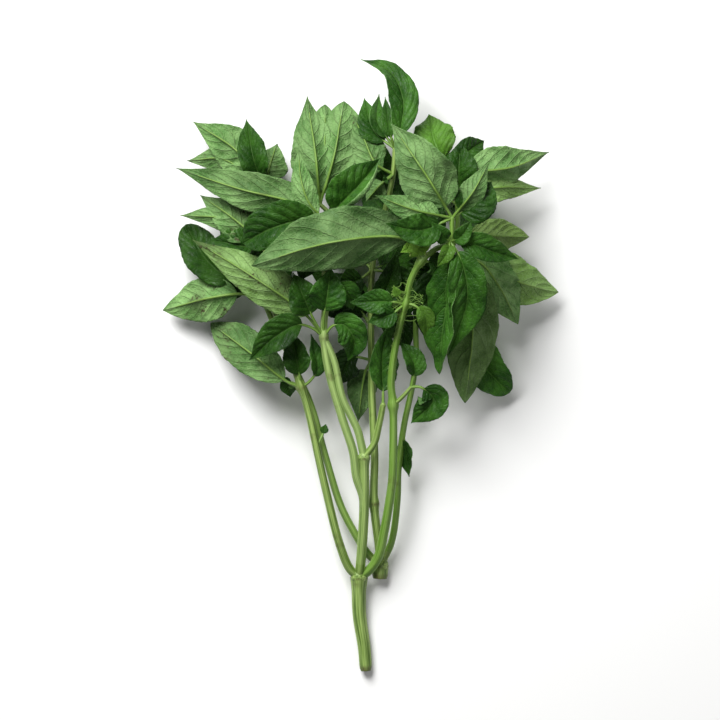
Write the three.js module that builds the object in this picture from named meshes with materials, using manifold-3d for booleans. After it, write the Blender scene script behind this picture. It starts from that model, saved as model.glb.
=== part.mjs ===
// A market bunch of basil lying on a table: two cut plants, one over the other.
// Each plant is a short cut stock that forks into leafy stems, and the leaves are fused to their stems.
// Millimetres. +Y runs from the cut ends to the leaf tips, +Z is up, and the table is at Z = 0.
import * as THREE from "three";
import { mergeVertices } from "three/addons/utils/BufferGeometryUtils.js";
import Module from "manifold-3d";

const wasm = await Module();
wasm.setup();

// Driving dimensions
const BLADE_THICKNESS = 0.8;
const STALK_RADIUS = 0.8;
const STALK_STEP = 7; // length of stalk between two rings
const STEM_SIDES = 8;
const STEM_STEP = 14; // length of stem between two rings
const STEM_SQUARENESS = 0.07; // basil stems are four-cornered
const JOINT_GAP = 0.3; // between a stock and the leafy stem that grows on from it
const MAIN_RADIUS = 3.5;
const FORK_RADIUS = 2.3;
const STOCK_STUB = 8; // length of each branch that belongs to the stock
const TRIM = 0.08; // facets closer than this to flat are merged
const TABLE = 0;

// Leaf outline: width over length grows as t^BASE_ROUND and closes as (1 - t)^TIP_TAPER
const BASE_ROUND = 0.65;
const TIP_TAPER = 1.25;
const TIP_RADIUS = 0.5;
const EDGE_WAVES = 2.4; // ripples along one edge
const EDGE_RIPPLE = 0.05; // height of a ripple over the leaf's width
const LARGE_LEAF = 20; // leaves at least this wide get the finer grid
const SMALL_LEAF = 12; // leaves narrower than this get the coarser one
const GOLDEN_STEP = 0.618; // shifts the ripples from leaf to leaf
const SWAY = 12; // degrees by which a blade twists of itself from stalk to tip
const FOLD = [18, 18]; // degrees by which the two halves of a blade rise from its midrib

const FRAME_STEPS = 100; // points along a stem where its section is turned square to it
const WELD_DISTANCE = 1e-4;
const SATIN = 0.6;

const LEAF_GREEN = new THREE.Color(0x4f7a35);
const STEM_GREEN = new THREE.Color(0x86a552);
const UP = new THREE.Vector3(0, 0, 1);

// Small helpers

const vector = ([x, y, z]) => new THREE.Vector3(x, y, z);
const curveThrough = (points) => new THREE.CatmullRomCurve3(points.map(vector), false, "centripetal");

function solidOf(geometry) {
  geometry.deleteAttribute("normal");
  geometry.deleteAttribute("uv");
  const merged = mergeVertices(geometry, WELD_DISTANCE);
  return new wasm.Manifold(
    new wasm.Mesh({
      numProp: 3,
      vertProperties: new Float32Array(merged.attributes.position.array),
      triVerts: new Uint32Array(merged.index.array),
    }),
  );
}

function geometryOf(solid) {
  const { vertProperties, triVerts } = solid.getMesh();
  const geometry = new THREE.BufferGeometry();
  geometry.setAttribute("position", new THREE.BufferAttribute(vertProperties, 3));
  geometry.setIndex(new THREE.BufferAttribute(triVerts, 1));
  geometry.computeVertexNormals();
  return geometry;
}

// Stems: a cylinder bent along a curve, tapering, four-cornered, and never below the table

function tube(curve, [thick, thin], { from = 0, to = 1 } = {}) {
  const rings = Math.max(1, Math.round((curve.getLength() * (to - from)) / STEM_STEP));
  const geometry = new THREE.CylinderGeometry(1, 1, 1, STEM_SIDES, rings);
  const frames = curve.computeFrenetFrames(FRAME_STEPS);
  const place = geometry.attributes.position;
  const point = new THREE.Vector3();
  for (let i = 0; i < place.count; i++) {
    const along = from + (to - from) * (place.getY(i) + 0.5);
    const angle = Math.atan2(place.getZ(i), place.getX(i));
    const reach = Math.hypot(place.getX(i), place.getZ(i));
    const corner = 1 + STEM_SQUARENESS * Math.cos(4 * angle);
    const radius = reach * THREE.MathUtils.lerp(thick, thin, along) * corner;
    const frame = Math.round(along * FRAME_STEPS);
    curve.getPointAt(along, point);
    point.addScaledVector(frames.normals[frame], radius * Math.cos(angle));
    point.addScaledVector(frames.binormals[frame], -radius * Math.sin(angle));
    place.setXYZ(i, point.x, point.y, Math.max(point.z, TABLE));
  }
  return solidOf(geometry);
}

const stem = (points, radii) => tube(curveThrough(points), radii);

// A branch that a stock carries: its root stays with the stock, the rest is the leafy stem
function fork(points, radii) {
  const curve = curveThrough(points);
  const length = curve.getLength();
  return {
    root: tube(curve, radii, { to: STOCK_STUB / length }),
    shoot: tube(curve, radii, { from: (STOCK_STUB + JOINT_GAP) / length }),
  };
}

// The swollen joint where leaves and branches part
function joint(centre, radius) {
  const geometry = new THREE.SphereGeometry(radius, STEM_SIDES, 4);
  geometry.translate(...centre);
  return solidOf(geometry);
}

// Leaves

function outline(t, taper) {
  const widest = BASE_ROUND / (BASE_ROUND + taper);
  return (t / widest) ** BASE_ROUND * ((1 - t) / (1 - widest)) ** taper;
}

// A point across one half of the blade, as [out, up] for a unit half width: it leaves the midrib at
// angle fold and has turned by curl when it reaches the edge
function across(share, fold, curl) {
  if (Math.abs(curl) < 0.01) return [share * Math.cos(fold), share * Math.sin(fold)];
  const end = fold + curl * share;
  return [(Math.sin(end) - Math.sin(fold)) / curl, (Math.cos(fold) - Math.cos(end)) / curl];
}

let leafCount = 0;

// One leaf: path runs from its joint on the stem, along the stalk and midrib, to the tip.
// turn is the side shown upwards: 0 is the upper side, 180 the underside; fold and curl are [left, right].
function leaf(path, form) {
  const { wide, turn = 0, twist = 0, fold = FOLD, curl = [0, 0], stalk = 7, taper = TIP_TAPER } = form;
  const curve = curveThrough(path);
  const bladeStart = stalk / curve.getLength();
  const stalkRows = Math.max(1, Math.round(stalk / STALK_STEP));
  const bladeRows = wide < SMALL_LEAF ? 4 : 5;
  const rows = stalkRows + bladeRows;
  const halfCells = wide < LARGE_LEAF ? 1 : 2;
  const phase = GOLDEN_STEP * leafCount++;
  const sway = twist + SWAY * Math.sin(2 * Math.PI * phase);
  const grid = new THREE.PlaneGeometry(2, rows, 2 * halfCells, rows);
  const place = grid.attributes.position;
  const thickness = [];
  const [point, ahead, normal, side] = [0, 1, 2, 3].map(() => new THREE.Vector3());
  for (let i = 0; i < place.count; i++) {
    const row = Math.round(place.getY(i) + rows / 2);
    const inBlade = row > stalkRows;
    const t = inBlade ? (row - stalkRows) / bladeRows : 0;
    const along = inBlade ? bladeStart + (1 - bladeStart) * t : (bladeStart * row) / stalkRows;
    const half = place.getX(i) < 0 ? 0 : 1;
    const share = Math.abs(place.getX(i));
    curve.getPointAt(along, point);
    curve.getTangentAt(along, ahead);
    normal.copy(UP).addScaledVector(ahead, -UP.dot(ahead)).normalize();
    normal.applyAxisAngle(ahead, THREE.MathUtils.degToRad(turn + sway * t));
    side.crossVectors(ahead, normal).multiplyScalar(half ? 1 : -1);
    const shape = outline(t, taper);
    const reach = inBlade ? Math.max((wide / 2) * shape, TIP_RADIUS) : STALK_RADIUS;
    const bend = inBlade ? [fold[half], curl[half]].map(THREE.MathUtils.degToRad) : [0, 0];
    const [out, up] = across(share, ...bend);
    const ripple = Math.sin(2 * Math.PI * (EDGE_WAVES * t + phase + half / 3)) * EDGE_RIPPLE * wide * shape;
    point.addScaledVector(side, reach * out).addScaledVector(normal, reach * up + ripple * share ** 2);
    place.setXYZ(i, point.x, point.y, point.z);
    thickness.push(inBlade ? BLADE_THICKNESS : 2 * STALK_RADIUS);
  }
  return thicken(grid, thickness, 2 * halfCells, rows);
}

// A closed blade from a grid of points: both faces are split into the same triangles
function thicken(grid, thickness, wideCells, longCells) {
  grid.computeVertexNormals();
  const { position, normal } = grid.attributes;
  const count = position.count;
  const points = new Float32Array(6 * count);
  for (let i = 0; i < count; i++) {
    const upperFace = normal.getZ(i) >= 0 ? 1 : -1;
    [1, -1].forEach((face, layer) => {
      const lowest = face === upperFace ? TABLE + BLADE_THICKNESS : TABLE;
      const shift = (face * thickness[i]) / 2;
      const at = 3 * (i + layer * count);
      points[at] = position.getX(i) + shift * normal.getX(i);
      points[at + 1] = position.getY(i) + shift * normal.getY(i);
      points[at + 2] = Math.max(position.getZ(i) + shift * normal.getZ(i), lowest);
    });
  }
  const faces = [...grid.index.array];
  for (let i = 0; i < grid.index.count; i += 3) {
    const [a, b, c] = faces.slice(i, i + 3);
    faces.push(a + count, c + count, b + count);
  }
  const row = wideCells + 1;
  const rim = [
    ...Array.from({ length: wideCells }, (_, i) => i),
    ...Array.from({ length: longCells }, (_, i) => i * row + wideCells),
    ...Array.from({ length: wideCells }, (_, i) => (longCells + 1) * row - 1 - i),
    ...Array.from({ length: longCells }, (_, i) => (longCells - i) * row),
  ];
  rim.forEach((a, i) => {
    const b = rim[(i + 1) % rim.length];
    faces.push(a, b, a + count, b, b + count, a + count);
  });
  const blade = new THREE.BufferGeometry();
  blade.setAttribute("position", new THREE.BufferAttribute(points, 3));
  blade.setIndex(faces);
  return solidOf(blade);
}

// One named part: the pieces fused into the one body that holds together, with no sealed hollow
function node(name, colour, solids) {
  const material = new THREE.MeshStandardMaterial({ color: colour, roughness: SATIN, metalness: 0 });
  const bodies = wasm.Manifold.union(solids).simplify(TRIM).decompose();
  const largest = bodies.reduce((a, b) => (b.volume() > a.volume() ? b : a));
  const mesh = new THREE.Mesh(geometryOf(largest), material);
  mesh.name = name;
  return mesh;
}

// The front plant: main stem with its fork

const frontFork = [-0.5, -106, 7.5];
const frontMain = stem(
  [[3, -153.5, 3], [2.2, -142, 3.3], [-0.3, -124.5, 4.6], frontFork],
  [2.9, MAIN_RADIUS],
);

const leftJoint = [-29.5, -10.5, 26];
const leftCrown = [-47, 58, 26];
const leftTip = [-48, 88, 20];
const frontLeft = fork(
  [frontFork, [-5, -102, 9.5], [-10, -90, 13], [-18, -58, 18.5], [-26.5, -20, 24], leftJoint,
    [-37.5, 13, 27], [-44, 33, 25.5], leftCrown, leftTip],
  [2.1, 1.2],
);

const middleFork = [2, -45.5, 22];
const middleJoint = [-18, 14.5, 33.5];
const middleCrown = [-17, 34.5, 37];
const middleTip = [-17, 72, 43];
const sideJoint = [11.5, -19.5, 27.5];
const frontMiddle = fork(
  [frontFork, [0, -102.5, 10], [1.5, -83.5, 14], [2.25, -64.5, 18], middleFork],
  [FORK_RADIUS, FORK_RADIUS],
);

const rightJoint = [16.5, -19.5, 30];
const rightBend = [22.5, 31, 41.5];
const rightNeck = [30, 51.5, 48.5];
const rightHead = [44.5, 61.5, 53];
const rightTip = [45.5, 73, 55];
const rightTwig = [25.5, -10.5, 33.5];
const frontRight = fork(
  [frontFork, [4.5, -102.5, 9.5], [9, -96, 12], [12, -83.5, 15.5], [16, -58, 22], [16.5, -45.5, 25],
    rightJoint, [15.5, -8.5, 32], [18.5, 14.5, 37], rightBend, [25.5, 43.5, 45.5], rightNeck,
    [37, 57.5, 51], rightHead, rightTip],
  [FORK_RADIUS, 1.2],
);

const frontStock = node("front_stock", STEM_GREEN, [
  frontMain, joint(frontFork, 4.2), frontLeft.root, frontMiddle.root, frontRight.root,
]);

// Front left stem: leaves low on the left, then a crown towards the upper left

const frontLeftStem = node("front_left_stem", LEAF_GREEN, [
  frontLeft.shoot,
  joint(leftJoint, 2.6),
  leaf(
    [leftJoint, [-36, -8, 27], [-54, 6, 24], [-75, 21.5, 9]],
    { wide: 22, turn: 180, fold: [8, 8], stalk: 9, taper: 0.75 },
  ),
  leaf([leftJoint, [-30.5, -3, 29], [-32, 5.5, 30.5], [-34, 18, 29.5]], { wide: 15, fold: [25, 25] }),
  leaf(
    [leftJoint, [-25.5, -8, 27], [-21.5, -2, 28], [-22.5, 7, 29], [-24.5, 16, 28]],
    { wide: 10, turn: 30, stalk: 9 },
  ),
  leaf([leftJoint, [-35.5, -8, 23], [-35, -15.5, 17]], { wide: 9, stalk: 6 }),
  leaf([[-21, -39, 21], [-19, -35, 20.5], [-17, -29, 20]], { wide: 4.5, stalk: 6 }),
  leaf([leftCrown, [-57.5, 69, 30], [-80, 85.5, 17]], { wide: 21, turn: 180 }),
  leaf([leftCrown, [-67, 73, 24], [-90, 75.5, 15]], { wide: 15, turn: 180 }),
  leaf([leftCrown, [-60, 60, 27], [-74, 63, 22]], { wide: 19 }),
  leaf([leftTip, [-60, 106, 23], [-83.7, 122.5, 12]], { wide: 25, turn: 180, stalk: 6 }),
  leaf([leftTip, [-53, 103, 26], [-57, 123.5, 17]], { wide: 17, fold: [30, 30] }),
  leaf([leftTip, [-67.5, 103, 17], [-87, 103, 9]], { wide: 18, turn: 180 }),
  leaf([leftTip, [-45, 101, 17], [-41.5, 111.5, 11]], { wide: 20, turn: 180 }),
]);

// Front middle stem: it forks in three, and carries the leaves left of the middle

const frontMiddleStem = node("front_middle_stem", LEAF_GREEN, [
  frontMiddle.shoot,
  joint(middleFork, 3),
  stem([[1.5, -67, 17.6], [-1.8, -55, 20.5], [-3.4, -43, 23], [-8.9, -26, 26], [-15.5, -3, 30.5], middleJoint,
    middleCrown, [-17.5, 52, 40], middleTip], [FORK_RADIUS, 1.4]),
  stem([middleFork, [-1, -32.5, 24.5], [-4, -26, 25.8], [-8.5, -16.5, 28], [-13, 3, 31.5], middleJoint],
    [1.9, 1.5]),
  stem([middleFork, [7, -39, 23.5], [9.5, -29.5, 25.5], sideJoint], [1.7, 1.4]),
  joint(middleJoint, 2.4),
  leaf(
    [middleJoint, [-27.5, 26, 37], [-52.5, 44, 39], [-83.5, 63, 28]],
    { wide: 23, turn: 180, fold: [10, 25], stalk: 14 },
  ),
  leaf(
    [middleJoint, [-24, 19, 35.5], [-31, 20.5, 37], [-41.5, 15, 37], [-55, 3, 31]],
    { wide: 19, fold: [35, 20], stalk: 13 },
  ),
  leaf(
    [middleJoint, [-23, 23, 38.5], [-27, 32, 43], [-33, 46, 43]],
    { wide: 18, fold: [30, 5], stalk: 15 },
  ),
  leaf([middleJoint, [-18, 24, 38.5], [-16.5, 33, 43], [-14.5, 49, 44]], { wide: 20, stalk: 15 }),
  leaf([middleCrown, [-11, 38, 40], [-6.5, 36, 39.5], [-3.5, 28, 34]], { wide: 13 }),
  leaf(
    [middleJoint, [-13.5, 20, 36.5], [-8, 20.5, 38], [-3, 13, 36], [-6, 2.5, 31]],
    { wide: 18, fold: [30, 30], stalk: 9 },
  ),
  leaf(
    [middleTip, [-30, 72, 48.5], [-44, 68, 48], [-58, 61, 40]],
    { wide: 25, fold: [20, 20], stalk: 6, taper: 0.75 },
  ),
  leaf([middleTip, [-30, 60, 44], [-52.5, 52, 42]], { wide: 16 }),
  leaf([middleTip, [-24, 57, 40], [-30, 42, 37]], { wide: 21 }),
  leaf(
    [middleTip, [-30, 80, 43], [-60, 88, 38], [-92, 99, 20]],
    { wide: 21, turn: 180, fold: [-5, 20], stalk: 8 },
  ),
  leaf([middleTip, [-25, 80.5, 45], [-29, 91.5, 45], [-30.5, 108, 37]], { wide: 13, turn: 180, stalk: 5 }),
  leaf(
    [middleTip, [-12, 78, 46.5], [-2, 88, 49], [10, 103, 44]],
    { wide: 27, fold: [25, 0], curl: [0, 150] },
  ),
  leaf([sideJoint, [11.5, -9.5, 27], [11, 5.5, 28], [14.5, 21, 30]], { wide: 17, turn: 28 }),
]);

// Front right stem: the highest one, with the largest leaf across the front and a crown to the right

const frontRightStem = node("front_right_stem", LEAF_GREEN, [
  frontRight.shoot,
  joint(rightJoint, 2.8),
  joint(rightBend, 2.6),
  joint(rightNeck, 2.4),
  stem([rightJoint, [21, -15.5, 32], rightTwig], [1.1, 0.9]),
  leaf([rightTwig, [27, 0.5, 36], [20, 12, 33]], { wide: 13, turn: 20, fold: [30, 30], stalk: 6 }),
  leaf([rightTwig, [30, -10.5, 35.5], [36.5, -16.5, 34], [25.5, -28.5, 27]], { wide: 17 }),
  leaf([rightBend, [12.5, 32, 45], [-5, 31.5, 43]], { wide: 13 }),
  leaf([rightBend, [16, 26, 44.5], [4, 21.5, 43]], { wide: 13 }),
  leaf([rightBend, [27, 30, 43], [32, 25, 43], [33, 14, 37]], { wide: 10 }),
  leaf([rightBend, [19, 35, 45], [16.5, 39.5, 47]], { wide: 5, stalk: 6 }),
  leaf(
    [rightNeck, [22, 62.5, 55], [-15, 60.5, 62], [-53.5, 49.5, 53]],
    { wide: 35, turn: 180, fold: [5, 42], stalk: 12, taper: 0.9 },
  ),
  leaf([rightNeck, [29, 58, 54], [37, 62.5, 58]], { wide: 11, stalk: 4 }),
  leaf([rightNeck, [25, 58, 53], [20, 56, 56]], { wide: 8, stalk: 4 }),
  leaf([rightNeck, [37, 51, 48], [41, 42, 46]], { wide: 13, stalk: 4 }),
  leaf([rightHead, [50, 52, 57], [53, 33, 53], [44, 5.5, 41]], { wide: 21 }),
  leaf(
    [rightHead, [44, 52, 53], [42, 28, 46], [39.5, -4, 36]],
    { wide: 22, turn: 45, stalk: 6, taper: 0.7 },
  ),
  leaf([rightHead, [54, 60.5, 54], [66, 56.5, 51], [78.5, 53, 44]], { wide: 15, fold: [20, 30], stalk: 5 }),
  leaf([rightTip, [26, 77, 63], [7.5, 84, 64]], { wide: 15, turn: 180, fold: [15, 15] }),
  leaf([rightTip, [30, 67, 60], [12.5, 70, 65]], { wide: 18, fold: [20, 20] }),
  leaf(
    [rightTip, [32.5, 94, 64], [15.5, 119.5, 55]],
    { wide: 29, turn: 180, fold: [10, 10], curl: [-45, 0] },
  ),
  leaf([rightTip, [55, 85, 62], [63.5, 100, 58]], { wide: 14, turn: 180, stalk: 6 }),
  leaf([rightTip, [57, 81, 58], [65, 91, 52]], { wide: 23, stalk: 5 }),
  leaf([rightHead, [41, 64, 58], [35, 71, 59]], { wide: 9, stalk: 3 }),
  leaf([rightHead, [50, 64, 58], [55, 72, 59]], { wide: 9, stalk: 3 }),
  leaf([rightHead, [43, 56, 58], [38, 49, 56]], { wide: 8, stalk: 3 }),
]);

// The back plant: a short cut stub with its fork

const backFork = [10.5, -100, 4.8];
const backMain = stem([[10, -107, 4], [10.2, -103, 4.2], backFork], [4, 3.2]);

const lowJoint = [-49, 34.5, 17.5];
const lowCrown = [-55, 45.5, 15.5];
const lowTip = [-61, 63, 13];
const backLeft = fork(
  [backFork, [4.5, -95, 6.2], [-1.5, -86, 8], [-9.5, -70.5, 10.5], [-17.5, -44.5, 14.5], [-24.5, -19.5, 17.5],
    [-34.5, 3, 19], [-43, 20.5, 19], lowJoint, lowCrown, lowTip],
  [1.9, 1.1],
);

const lowNode = [7, -69, 12];
const shadeJoint = [5.75, 3, 20.5];
const centreJoint = [5.5, 20, 22.5];
const centreBend = [6, 48, 26];
const centreCrown = [10, 67, 28.5];
const centreNeck = [16.5, 95.5, 32];
const centreTip = [17.5, 108, 33];
const centreTwig = [-20, 80.5, 28];
const backMiddle = fork(
  [backFork, [9.5, -90, 8], lowNode, [7.3, -45.5, 15], [6, -14.5, 18.5], shadeJoint, centreJoint,
    centreBend, centreCrown, centreNeck, centreTip],
  [2.1, 1.2],
);

const farJoint = [22, -30, 17];
const farBend = [42.5, 52, 26];
const farCrown = [48, 65.5, 27];
const farNeck = [48.5, 80.5, 28];
const farTip = [46, 98, 28.5];
const backRight = fork(
  [backFork, [15.8, -88.5, 7], [18.75, -67, 11.5], [19.25, -52, 14], farJoint, [26, -11, 19.5], [28, 3, 21],
    [29, 28, 24], farBend, farCrown, farNeck, farTip],
  [1.7, 1],
);

const backStock = node("back_stock", STEM_GREEN, [
  backMain, joint(backFork, 3.8), backLeft.root, backMiddle.root, backRight.root,
]);

// Back left stem: leaves low on the left, some of them flat on the table

const backLeftStem = node("back_left_stem", LEAF_GREEN, [
  backLeft.shoot,
  leaf(
    [lowJoint, [-60, 36, 21], [-75, 34, 19.5], [-99, 28, 8]],
    { wide: 24, turn: 180, stalk: 13, taper: 0.95 },
  ),
  leaf(
    [lowCrown, [-68, 46, 17], [-77.5, 54, 15], [-87.5, 71, 8]],
    { wide: 21, fold: [15, 15], taper: 0.6 },
  ),
  leaf([lowCrown, [-61, 44, 15], [-62, 34, 9]], { wide: 12, stalk: 4, taper: 0.8 }),
  leaf([lowCrown, [-58, 58, 5], [-63, 68, 0], [-71, 80.5, -2]], { wide: 21, fold: [3, 3] }),
  leaf([lowTip, [-54, 74, 5], [-51, 86, 0], [-51.5, 103, -2]], { wide: 22, fold: [3, 3] }),
  leaf([lowJoint, [-45, 44, 6], [-42, 53, 0], [-40, 66, -2]], { wide: 20, fold: [3, 3] }),
]);

// Back middle stem: the tall leaves at the top, and those in the shade behind the stems

const backMiddleStem = node("back_middle_stem", LEAF_GREEN, [
  backMiddle.shoot,
  joint(lowNode, 2.6),
  stem([centreCrown, [-7.5, 70.5, 28.5], centreTwig], [1.2, 1]),
  leaf([centreTwig, [-22, 103, 31.5], [-26.5, 135, 18]], { wide: 26, turn: 180, stalk: 6, taper: 1.25 }),
  leaf([centreTwig, [-13, 104, 30], [-8, 132.5, 16]], { wide: 29, turn: 180, stalk: 6, taper: 0.7 }),
  leaf([centreTwig, [-18, 105, 26], [-17.5, 131, 14]], { wide: 22, turn: 180, stalk: 6, taper: 0.7 }),
  leaf([centreNeck, [8, 100.5, 34], [2, 113, 31], [-3.5, 125.5, 22]], { wide: 18, turn: 180, stalk: 6 }),
  leaf([centreTip, [7, 117, 28], [2, 134, 20]], { wide: 14 }),
  leaf([centreTip, [8.5, 122, 29], [9.5, 136, 19]], { wide: 9, turn: 20 }),
  leaf(
    [centreTip, [20, 118, 35], [21.5, 131.5, 32], [15.5, 146.2, 27], [0.5, 153.5, 16]],
    { wide: 16, twist: 60 },
  ),
  leaf([centreTip, [15, 115.5, 36.5], [12.5, 134, 29]], { wide: 7 }),
  leaf([centreNeck, [14, 93, 36], [11.5, 92, 37]], { wide: 5, stalk: 6 }),
  leaf([centreNeck, [10, 90, 34], [3, 82, 30]], { wide: 12, turn: 180 }),
  leaf([centreJoint, [10, 30, 27], [14.5, 42, 31], [18.5, 58, 34]], { wide: 15 }),
  leaf([centreBend, [1, 44, 28.5], [-11, 40, 26]], { wide: 16 }),
  leaf([shadeJoint, [2.5, -3.5, 16], [-1, -28, 9]], { wide: 16, turn: 180 }),
  leaf([shadeJoint, [-3.5, 4, 18], [-12, -10, 12]], { wide: 17 }),
  leaf([centreJoint, [-2, 30, 20], [-18, 35, 16], [-33, 31, 12]], { wide: 21 }),
  leaf([centreJoint, [12, 28, 21], [20, 20, 18], [24, 6, 14]], { wide: 18 }),
  leaf([centreBend, [15, 46, 28], [22, 38, 27], [25, 24, 23]], { wide: 17 }),
  leaf([centreBend, [-3, 59, 10], [-9, 72, 1], [-15, 88, -2]], { wide: 24, fold: [3, 3] }),
  leaf([centreCrown, [12.5, 83, 9], [11, 98, 1], [8, 119, -2]], { wide: 24, fold: [3, 3] }),
  leaf([centreBend, [17, 53, 10], [24, 58, 2], [36, 67, -2]], { wide: 20, fold: [3, 3] }),
  leaf([centreJoint, [-6, 35, 10], [-13, 40, 1], [-26, 49, -2]], { wide: 21, fold: [3, 3] }),
]);

// Back right stem: leaves hanging to the right, and those at the right of the top

const backRightStem = node("back_right_stem", LEAF_GREEN, [
  backRight.shoot,
  leaf([farJoint, [22, -37, 17.5], [24.7, -55.5, 12]], { wide: 10, turn: 30 }),
  leaf(
    [farBend, [53, 43, 33], [56, 23, 34], [52.5, -18.5, 21]],
    { wide: 29, turn: 180, stalk: 8, taper: 0.85 },
  ),
  leaf([farBend, [56, 14, 19], [63, -1, 16], [75, -13.5, 7]], { wide: 22, stalk: 28, taper: 0.6 }),
  leaf([farBend, [59, 52, 32], [69, 40, 31], [79, 21, 19]], { wide: 24, turn: 180, taper: 0.9 }),
  leaf([farBend, [61, 51, 27], [80.5, 41.5, 25], [99.5, 37, 10]], { wide: 25, turn: 180, taper: 0.8 }),
  leaf([farCrown, [61, 65, 33], [84.5, 64.5, 20]], { wide: 18, turn: 180, taper: 0.9 }),
  leaf([farNeck, [64, 88, 32], [90.5, 89, 18]], { wide: 15, turn: 180 }),
  leaf([farTip, [60, 97, 35], [76, 99, 33], [94.5, 107, 20]], { wide: 24, turn: 180, fold: [45, 8] }),
  leaf([farTip, [54, 107, 30], [62, 112.5, 24]], { wide: 14 }),
  leaf([farTip, [38, 110, 29], [34.5, 126, 18]], { wide: 23, fold: [15, 15] }),
  leaf([farBend, [37, 50, 22], [24, 38, 18]], { wide: 22 }),
  leaf([farNeck, [49, 94, 33], [50, 112, 31]], { wide: 22 }),
  leaf([farCrown, [40, 69, 22], [28, 76, 18]], { wide: 20 }),
  leaf([farBend, [36, 42, 30], [33, 28, 30], [34, 11, 24]], { wide: 17 }),
  leaf([farCrown, [55, 78, 9], [56, 88, 1], [56, 103, -2]], { wide: 19, fold: [3, 3] }),
  leaf([farBend, [48, 42, 9], [51, 33, 1], [54, 20, -2]], { wide: 20, fold: [3, 3] }),
  leaf([farNeck, [41, 87, 10], [39, 97, 1], [37, 114, -2]], { wide: 19, fold: [3, 3] }),
]);

const frontPlant = new THREE.Group();
frontPlant.add(frontStock, frontLeftStem, frontMiddleStem, frontRightStem);
const backPlant = new THREE.Group();
backPlant.add(backStock, backLeftStem, backMiddleStem, backRightStem);
const basilBunch = new THREE.Group();
basilBunch.add(frontPlant, backPlant);

export default basilBunch;
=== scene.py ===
import bisect
import math
import random

import bmesh
import bpy
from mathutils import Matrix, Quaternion, Vector, geometry, noise


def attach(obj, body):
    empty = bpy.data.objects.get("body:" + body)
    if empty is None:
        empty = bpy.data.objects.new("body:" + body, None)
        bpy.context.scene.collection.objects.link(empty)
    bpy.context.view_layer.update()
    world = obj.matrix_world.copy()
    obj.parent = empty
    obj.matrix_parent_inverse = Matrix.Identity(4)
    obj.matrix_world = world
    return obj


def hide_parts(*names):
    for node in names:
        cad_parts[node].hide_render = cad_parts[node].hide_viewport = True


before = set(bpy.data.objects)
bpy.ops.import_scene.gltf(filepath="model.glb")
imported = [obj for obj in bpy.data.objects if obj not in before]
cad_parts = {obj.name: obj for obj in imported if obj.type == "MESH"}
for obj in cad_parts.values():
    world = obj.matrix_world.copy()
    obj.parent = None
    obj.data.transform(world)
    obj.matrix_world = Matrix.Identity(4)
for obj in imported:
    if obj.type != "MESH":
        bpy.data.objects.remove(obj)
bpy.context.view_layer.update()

# Table, light and camera: the bunch lies on a plain pale table under one large soft light from the
# upper left and a weaker one opposite. The camera looks straight down, as in the photograph.
MM = 0.001
CAMERA_HEIGHT = 2600
FRAMED_WIDTH = 360  # width of the picture at the height of the leaves
LEAF_HEIGHT = 20
FRAME_CENTRE = (0, 3)
SENSOR_WIDTH = 36
WORLD_LIGHT = 0.075
TABLE_REACH = 3  # metres from the middle of the table to its edge
TABLE_WHITE = (0.9, 0.9, 0.89, 1)

camera_data = bpy.data.cameras.new("camera")
camera_data.sensor_width = SENSOR_WIDTH
camera_data.lens = SENSOR_WIDTH * (CAMERA_HEIGHT - LEAF_HEIGHT) / FRAMED_WIDTH
camera = bpy.data.objects.new("camera", camera_data)
camera.location = Vector((*FRAME_CENTRE, CAMERA_HEIGHT)) * MM
bpy.context.collection.objects.link(camera)
scene = bpy.context.scene
scene.camera = camera
scene.view_settings.view_transform = "Standard"

SOFT_LIGHTS = {  # place in mm, size in metres, power in watts
    "key light": ((-420, 800, 900), 0.75, 29),
    "fill light": ((600, -500, 1250), 1.4, 5),
}
for light_name, (place, size, power) in SOFT_LIGHTS.items():
    light_data = bpy.data.lights.new(light_name, "AREA")
    light_data.size = size
    light_data.energy = power
    light = bpy.data.objects.new(light_name, light_data)
    light.location = Vector(place) * MM
    light.rotation_euler = (-light.location).to_track_quat("-Z", "Y").to_euler()
    bpy.context.collection.objects.link(light)

world = bpy.data.worlds.new("studio")
world.use_nodes = True
world.node_tree.nodes["Background"].inputs["Color"].default_value = (1, 1, 1, 1)
world.node_tree.nodes["Background"].inputs["Strength"].default_value = WORLD_LIGHT
scene.world = world

bm = bmesh.new()
bmesh.ops.create_grid(bm, x_segments=1, y_segments=1, size=TABLE_REACH)
floor_mesh = bpy.data.meshes.new("floor")
bm.to_mesh(floor_mesh)
bm.free()
floor = bpy.data.objects.new("floor", floor_mesh)
bpy.context.collection.objects.link(floor)
floor_paint = bpy.data.materials.new("pale table")
floor_paint.use_nodes = True
floor_shader = floor_paint.node_tree.nodes["Principled BSDF"]
floor_shader.inputs["Base Color"].default_value = TABLE_WHITE
floor_shader.inputs["Roughness"].default_value = 0.8
floor_mesh.materials.append(floor_paint)

# Front stock: the thick main stem of the front plant, four-cornered and juicy, cut across at the
# bottom where the cut has browned, and swollen with leaf scars where it forks in three.
UP = Vector((0, 0, 1))
STEM_SIDES = 20
STEM_RING = 1.6  # length of stem between two rings of the mesh
FEWEST_RINGS = 3
CURVE_POINTS = 25  # points between two knots of a path
CORNERS = 4  # basil stems are four-cornered
SQUARENESS = 0.07  # share of the radius by which the corners stand out
GRAIN_LENGTH = 20  # length of stem over which its streaks change
STOCK_STUB = 8  # length of each branch that stays with the stock
SCAR_WIDTH = 0.9
WELD_DISTANCE = 1e-6
CUT_ROUNDING = 0.2  # share of the radius lost at a cut end
KNOB_RINGS = 12
CUT_LENGTH = 1.3  # length of stem that a cut rounds and browns


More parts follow.
